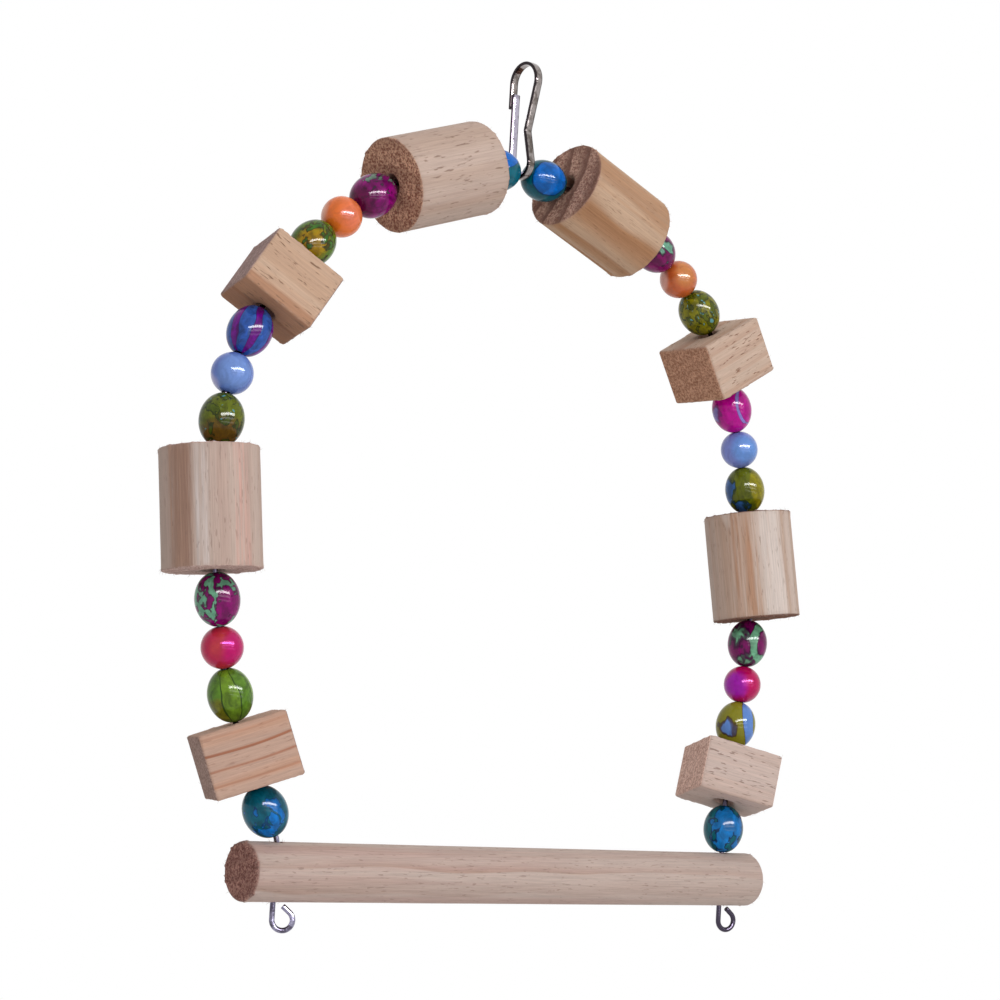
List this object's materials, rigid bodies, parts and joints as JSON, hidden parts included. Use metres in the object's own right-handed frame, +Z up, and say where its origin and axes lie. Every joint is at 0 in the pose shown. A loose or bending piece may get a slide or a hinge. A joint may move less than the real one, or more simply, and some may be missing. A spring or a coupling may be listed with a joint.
{
  "type": "bird swing",
  "caption": "Bird swing: a wire arch strung with acrylic beads and raw pine pieces, a dowel perch across its feet, hung by a spring hook.",
  "frame": {"origin": "centre of the hook's crown, where the cage bar lies", "axes": "+X along the perch to the right as pictured, +Y away from the viewer, +Z up"},
  "size_m": [0.2431, 0.033, 0.2638],
  "materials": {
    "bright_wire": "bright plated wire",
    "spring_strip": "bright nickel plated spring strip",
    "dowel": "sanded, not varnished",
    "pine": "raw, sawn and turned",
    "bead_teal": "polished marbled acrylic",
    "bead_green": "polished marbled acrylic",
    "bead_red": "polished marbled acrylic",
    "bead_mint": "polished marbled acrylic",
    "bead_olive": "polished marbled acrylic",
    "bead_blue": "polished marbled acrylic",
    "bead_blue_violet": "polished marbled acrylic",
    "bead_orange": "polished marbled acrylic",
    "bead_plum": "polished marbled acrylic",
    "bead_sky": "polished marbled acrylic",
    "bead_magenta": "polished marbled acrylic"
  },
  "bodies": {
    "hook": {"snap_hook_body": "spring_strip"},
    "gate": {"snap_hook_gate": "spring_strip"},
    "swing": {"arch_wire": "bright_wire", "perch": "dowel"},
    "left_oval_bead_1": {"left_oval_bead_1": "bead_teal"},
    "left_block_1": {"left_block_1": "pine"},
    "left_oval_bead_2": {"left_oval_bead_2": "bead_green"},
    "left_round_bead_1": {"left_round_bead_1": "bead_red"},
    "left_oval_bead_3": {"left_oval_bead_3": "bead_mint"},
    "left_cylinder_1": {"left_cylinder_1": "pine"},
    "left_oval_bead_4": {"left_oval_bead_4": "bead_olive"},
    "left_round_bead_2": {"left_round_bead_2": "bead_blue"},
    "left_oval_bead_5": {"left_oval_bead_5": "bead_blue_violet"},
    "left_block_2": {"left_block_2": "pine"},
    "left_oval_bead_6": {"left_oval_bead_6": "bead_olive"},
    "left_round_bead_3": {"left_round_bead_3": "bead_orange"},
    "left_oval_bead_7": {"left_oval_bead_7": "bead_plum"},
    "left_cylinder_2": {"left_cylinder_2": "pine"},
    "left_oval_bead_8": {"left_oval_bead_8": "bead_sky"},
    "right_oval_bead_1": {"right_oval_bead_1": "bead_teal"},
    "right_block_1": {"right_block_1": "pine"},
    "right_oval_bead_2": {"right_oval_bead_2": "bead_green"},
    "right_round_bead_1": {"right_round_bead_1": "bead_red"},
    "right_oval_bead_3": {"right_oval_bead_3": "bead_mint"},
    "right_cylinder_1": {"right_cylinder_1": "pine"},
    "right_oval_bead_4": {"right_oval_bead_4": "bead_green"},
    "right_round_bead_2": {"right_round_bead_2": "bead_blue"},
    "right_oval_bead_5": {"right_oval_bead_5": "bead_magenta"},
    "right_block_2": {"right_block_2": "pine"},
    "right_oval_bead_6": {"right_oval_bead_6": "bead_olive"},
    "right_round_bead_3": {"right_round_bead_3": "bead_orange"},
    "right_oval_bead_7": {"right_oval_bead_7": "bead_plum"},
    "right_cylinder_2": {"right_cylinder_2": "pine"},
    "right_oval_bead_8": {"right_oval_bead_8": "bead_teal"}
  },
  "joints": [
    {"name": "gate_flex", "type": "hinge", "parent": "hook", "child": "gate", "pos_m": [0, 0.0044, -0.0249], "axis": [1, 0, 0], "range_deg": [0, 16], "stiffness_Nm_per_rad": 0.08, "springref_deg": -1.72},
    {"name": "swing_pivot", "type": "hinge", "parent": "hook", "child": "swing", "pos_m": [0, 0, -0.0285], "axis": [1, 0, 0], "range_deg": [-60, 60]},
    {"name": "left_oval_bead_1_spin", "type": "hinge", "parent": "swing", "child": "left_oval_bead_1", "pos_m": [-0.07956, 0, -0.22395], "axis": [-0.5169, 0, 0.8561], "continuous": true},
    {"name": "left_block_1_spin", "type": "hinge", "parent": "swing", "child": "left_block_1", "pos_m": [-0.08758, 0, -0.20846], "axis": [-0.3134, 0.1564, 0.9366], "continuous": true},
    {"name": "left_oval_bead_2_spin", "type": "hinge", "parent": "swing", "child": "left_oval_bead_2", "pos_m": [-0.09401, 0, -0.19225], "axis": [-0.307, 0, 0.9517], "continuous": true},
    {"name": "left_round_bead_1_spin", "type": "hinge", "parent": "swing", "child": "left_round_bead_1", "pos_m": [-0.09771, 0, -0.1793], "axis": [-0.233, 0, 0.9725], "continuous": true},
    {"name": "left_oval_bead_3_spin", "type": "hinge", "parent": "swing", "child": "left_oval_bead_3", "pos_m": [-0.10039, 0, -0.16612], "axis": [-0.1733, 0, 0.9849], "continuous": true},
    {"name": "left_cylinder_1_spin", "type": "hinge", "parent": "swing", "child": "left_cylinder_1", "pos_m": [-0.10456, 0, -0.14147], "axis": [-0.061, 0.0785, 0.9951], "continuous": true},
    {"name": "left_oval_bead_4_spin", "type": "hinge", "parent": "swing", "child": "left_oval_bead_4", "pos_m": [-0.10297, 0, -0.11643], "axis": [0.1115, 0, 0.9938], "continuous": true},
    {"name": "left_round_bead_2_spin", "type": "hinge", "parent": "swing", "child": "left_round_bead_2", "pos_m": [-0.10048, 0, -0.1031], "axis": [0.2756, 0, 0.9613], "continuous": true},
    {"name": "left_oval_bead_5_spin", "type": "hinge", "parent": "swing", "child": "left_oval_bead_5", "pos_m": [-0.09553, 0, -0.09048], "axis": [0.4321, 0, 0.9018], "continuous": true},
    {"name": "left_block_2_spin", "type": "hinge", "parent": "swing", "child": "left_block_2", "pos_m": [-0.08573, 0, -0.07649], "axis": [0.5489, -0.0523, 0.8342], "continuous": true},
    {"name": "left_oval_bead_6_spin", "type": "hinge", "parent": "swing", "child": "left_oval_bead_6", "pos_m": [-0.07598, 0, -0.06246], "axis": [0.6839, 0, 0.7295], "continuous": true},
    {"name": "left_round_bead_3_spin", "type": "hinge", "parent": "swing", "child": "left_round_bead_3", "pos_m": [-0.06629, 0, -0.05305], "axis": [0.7582, 0, 0.652], "continuous": true},
    {"name": "left_oval_bead_7_spin", "type": "hinge", "parent": "swing", "child": "left_oval_bead_7", "pos_m": [-0.05545, 0, -0.04498], "axis": [0.8337, 0, 0.5522], "continuous": true},
    {"name": "left_cylinder_2_spin", "type": "hinge", "parent": "swing", "child": "left_cylinder_2", "pos_m": [-0.033, 0, -0.03523], "axis": [0.9455, 0, 0.3256], "continuous": true},
    {"name": "left_oval_bead_8_spin", "type": "hinge", "parent": "swing", "child": "left_oval_bead_8", "pos_m": [-0.00931, 0, -0.0291], "axis": [0.9969, 0, 0.0782], "continuous": true},
    {"name": "right_oval_bead_1_spin", "type": "hinge", "parent": "swing", "child": "right_oval_bead_1", "pos_m": [0.10091, 0, -0.22461], "axis": [0.0298, 0, 0.9996], "continuous": true},
    {"name": "right_block_1_spin", "type": "hinge", "parent": "swing", "child": "right_block_1", "pos_m": [0.10203, 0, -0.20784], "axis": [0.2829, 0.0872, 0.9552], "continuous": true},
    {"name": "right_oval_bead_2_spin", "type": "hinge", "parent": "swing", "child": "right_oval_bead_2", "pos_m": [0.10414, 0, -0.19116], "axis": [0.1615, 0, 0.9869], "continuous": true},
    {"name": "right_round_bead_1_spin", "type": "hinge", "parent": "swing", "child": "right_round_bead_1", "pos_m": [0.10626, 0, -0.17787], "axis": [0.1532, 0, 0.9882], "continuous": true},
    {"name": "right_oval_bead_3_spin", "type": "hinge", "parent": "swing", "child": "right_oval_bead_3", "pos_m": [0.10767, 0, -0.16446], "axis": [0.0663, 0, 0.9978], "continuous": true},
    {"name": "right_cylinder_1_spin", "type": "hinge", "parent": "swing", "child": "right_cylinder_1", "pos_m": [0.10793, 0, -0.13937], "axis": [-0.0954, 0.1045, 0.9899], "continuous": true},
    {"name": "right_oval_bead_4_spin", "type": "hinge", "parent": "swing", "child": "right_oval_bead_4", "pos_m": [0.10301, 0, -0.11477], "axis": [-0.2385, 0, 0.9711], "continuous": true},
    {"name": "right_round_bead_2_spin", "type": "hinge", "parent": "swing", "child": "right_round_bead_2", "pos_m": [0.09949, 0, -0.1018], "axis": [-0.2924, 0, 0.9563], "continuous": true},
    {"name": "right_oval_bead_5_spin", "type": "hinge", "parent": "swing", "child": "right_oval_bead_5", "pos_m": [0.09516, 0, -0.08908], "axis": [-0.3453, 0, 0.9385], "continuous": true},
    {"name": "right_block_2_spin", "type": "hinge", "parent": "swing", "child": "right_block_2", "pos_m": [0.08709, 0, -0.07418], "axis": [-0.5027, 0, 0.8645], "continuous": true},
    {"name": "right_oval_bead_6_spin", "type": "hinge", "parent": "swing", "child": "right_oval_bead_6", "pos_m": [0.07817, 0, -0.05977], "axis": [-0.6713, 0, 0.7412], "continuous": true},
    {"name": "right_round_bead_3_spin", "type": "hinge", "parent": "swing", "child": "right_round_bead_3", "pos_m": [0.0683, 0, -0.05046], "axis": [-0.7932, 0, 0.609], "continuous": true},
    {"name": "right_oval_bead_7_spin", "type": "hinge", "parent": "swing", "child": "right_oval_bead_7", "pos_m": [0.05692, 0, -0.04312], "axis": [-0.8733, 0, 0.4872], "continuous": true},
    {"name": "right_cylinder_2_spin", "type": "hinge", "parent": "swing", "child": "right_cylinder_2", "pos_m": [0.03358, 0, -0.03446], "axis": [-0.9413, -0.0523, 0.3333], "continuous": true},
    {"name": "right_oval_bead_8_spin", "type": "hinge", "parent": "swing", "child": "right_oval_bead_8", "pos_m": [0.0093, 0, -0.02901], "axis": [-0.9977, 0, 0.0671], "continuous": true}
  ]
}
